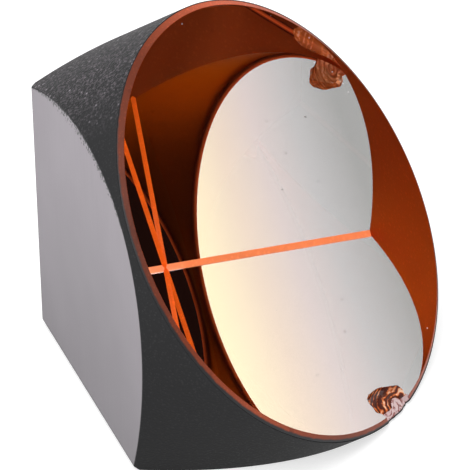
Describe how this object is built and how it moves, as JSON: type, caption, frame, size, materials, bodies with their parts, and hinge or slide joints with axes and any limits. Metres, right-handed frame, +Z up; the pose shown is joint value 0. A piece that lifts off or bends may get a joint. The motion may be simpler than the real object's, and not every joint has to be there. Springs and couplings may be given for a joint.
{
  "type": "corner cube prism",
  "caption": "Round glass corner cube prism with silvered rear facets, a copper-lined rim and a dark painted barrel, which sends light back the way it came.",
  "frame": {"origin": "on the floor, under the middle of the part's box", "axes": "+Z up, square to the rear facet that the part rests on; the front face looks towards -Y and up, and its axis leans 35.3 degrees above the floor; the other rear facets face +X +Y and -X +Y"},
  "size_m": [0.0628, 0.0546, 0.0518],
  "materials": {
    "glass": "polished",
    "silvering": "satin back, bright against the glass",
    "copper": "matt",
    "paint": "fine grain"
  },
  "bodies": {
    "root": {"glass_prism": "glass", "mirror_coating": "silvering", "copper_coating": "copper", "backing_paint": "paint"}
  },
  "joints": []
}
